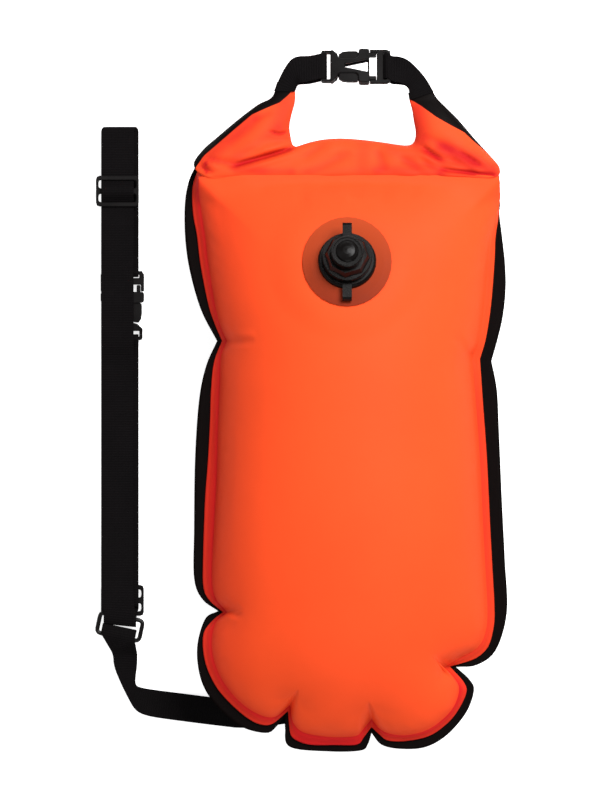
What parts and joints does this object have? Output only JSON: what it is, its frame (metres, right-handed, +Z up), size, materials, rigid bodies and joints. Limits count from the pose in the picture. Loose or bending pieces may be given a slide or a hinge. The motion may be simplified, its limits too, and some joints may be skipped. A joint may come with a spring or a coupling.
{
  "type": "open water swim buoy",
  "caption": "Inflated tow float and roll-top dry bag with a buckled carrying loop, a screw valve, a leash and a folded waist belt.",
  "frame": {"origin": "centre of the bounding box's base, on the floor that the bag lies on", "axes": "+X across the bag away from the belt, +Y along the bag towards the roll-top, +Z up out of the orange front, which carries the valve"},
  "size_m": [0.3796, 0.6468, 0.1657],
  "materials": {
    "orange_fabric": "satin",
    "black_fabric": "satin",
    "grey_film": "matte",
    "black_webbing": "matte",
    "black_plastic": "satin",
    "black_rubber": "satin",
    "grey_rubber": "matte",
    "white_plastic": "matte",
    "clear_patch": "translucent"
  },
  "bodies": {
    "bag": {"back_panel": "black_fabric", "front_panel": "orange_fabric", "divider_panel": "grey_film", "roll_top": "orange_fabric", "mouth_stiffener": "white_plastic", "tether_patch": "black_fabric", "handle_strap_left": "black_webbing", "handle_strap_right": "black_webbing", "handle_buckle_socket": "black_plastic", "valve_patch": "clear_patch", "valve_base": "black_rubber", "leash": "black_webbing", "belt_webbing": "black_webbing", "belt_buckle_socket": "black_plastic"},
    "plug_carrier": {"plug_leash": "black_rubber"},
    "plug": {"valve_plug": "black_rubber", "valve_diaphragm": "grey_rubber", "plug_seal": "grey_rubber"},
    "cap_carrier": {"cap_leash": "black_rubber"},
    "cap": {"valve_cap": "black_rubber"},
    "handle_plug": {"handle_buckle_plug": "black_plastic"},
    "handle_prong_up": {"handle_prong_upper": "black_plastic"},
    "handle_prong_low": {"handle_prong_lower": "black_plastic"},
    "belt_plug": {"belt_buckle_plug": "black_plastic"},
    "belt_prong_l": {"belt_prong_left": "black_plastic"},
    "belt_prong_r": {"belt_prong_right": "black_plastic"},
    "ring": {"belt_ring": "black_plastic"},
    "slider_upper": {"belt_slider_upper": "black_plastic"},
    "slider_lower": {"belt_slider_lower": "black_plastic"}
  },
  "joints": [
    {"name": "valve_plug_lift", "type": "slide", "parent": "bag", "child": "plug_carrier", "axis": [0, 0.2924, 0.9563], "range_m": [0, 0.006], "deforming": ["plug_leash"]},
    {"name": "valve_plug_turn", "type": "hinge", "parent": "plug_carrier", "child": "plug", "pos_m": [0.04233, 0.12712, 0.13017], "axis": [0, 0.2924, 0.9563], "range_deg": [0, 540]},
    {"name": "valve_cap_lift", "type": "slide", "parent": "plug", "child": "cap_carrier", "axis": [0, 0.2924, 0.9563], "range_m": [0, 0.0025], "deforming": ["cap_leash"]},
    {"name": "valve_cap_turn", "type": "hinge", "parent": "cap_carrier", "child": "cap", "pos_m": [0.04233, 0.12712, 0.13017], "axis": [0, 0.2924, 0.9563], "range_deg": [0, 450]},
    {"name": "handle_release", "type": "slide", "parent": "bag", "child": "handle_plug", "axis": [1, 0, 0], "range_m": [0, 0.032], "deforming": ["handle_strap_right", "handle_prong_upper", "handle_prong_lower"]},
    {"name": "handle_squeeze_upper", "type": "hinge", "parent": "handle_plug", "child": "handle_prong_up", "pos_m": [0.06931, 0.31728, 0.06266], "axis": [0, 0.3746, 0.9272], "range_deg": [0, 8.5], "stiffness_Nm_per_rad": 0.5, "deforming": ["handle_prong_upper"]},
    {"name": "handle_squeeze_lower", "type": "hinge", "parent": "handle_plug", "child": "handle_prong_low", "pos_m": [0.06931, 0.29578, 0.07135], "axis": [0, -0.3746, -0.9272], "range_deg": [0, 8.5], "stiffness_Nm_per_rad": 0.5, "deforming": ["handle_prong_lower"]},
    {"name": "belt_release", "type": "slide", "parent": "bag", "child": "belt_plug", "axis": [0, 1, 0], "range_m": [0, 0.032], "deforming": ["belt_webbing", "belt_prong_left", "belt_prong_right"]},
    {"name": "belt_squeeze_left", "type": "hinge", "parent": "belt_plug", "child": "belt_prong_l", "pos_m": [-0.17977, 0.10626, 0.0058], "axis": [0, 0, 1], "range_deg": [0, 8.5], "stiffness_Nm_per_rad": 0.5, "deforming": ["belt_prong_left"]},
    {"name": "belt_squeeze_right", "type": "hinge", "parent": "belt_plug", "child": "belt_prong_r", "pos_m": [-0.14989, 0.10626, 0.0058], "axis": [0, 0, -1], "range_deg": [0, 8.5], "stiffness_Nm_per_rad": 0.5, "deforming": ["belt_prong_right"]},
    {"name": "ring_swing", "type": "hinge", "parent": "bag", "child": "ring", "pos_m": [-0.16515, -0.1997, 0.0095], "axis": [-0.9781, 0.2079, 0], "range_deg": [0, 70], "deforming": ["leash"]},
    {"name": "upper_slider_adjust", "type": "slide", "parent": "bag", "child": "slider_upper", "axis": [0, 1, 0], "range_m": [-0.04, 0.03]},
    {"name": "lower_slider_adjust", "type": "slide", "parent": "bag", "child": "slider_lower", "axis": [0, 1, 0], "range_m": [0, 0.08]}
  ],
  "couplings": [
    {"joint": "valve_plug_lift", "follows": "valve_plug_turn", "m_per_rad": 0.00063662},
    {"joint": "valve_cap_lift", "follows": "valve_cap_turn", "m_per_rad": 0.00031831},
    {"joint": "handle_squeeze_lower", "follows": "handle_squeeze_upper", "ratio": 1},
    {"joint": "belt_squeeze_right", "follows": "belt_squeeze_left", "ratio": 1}
  ]
}
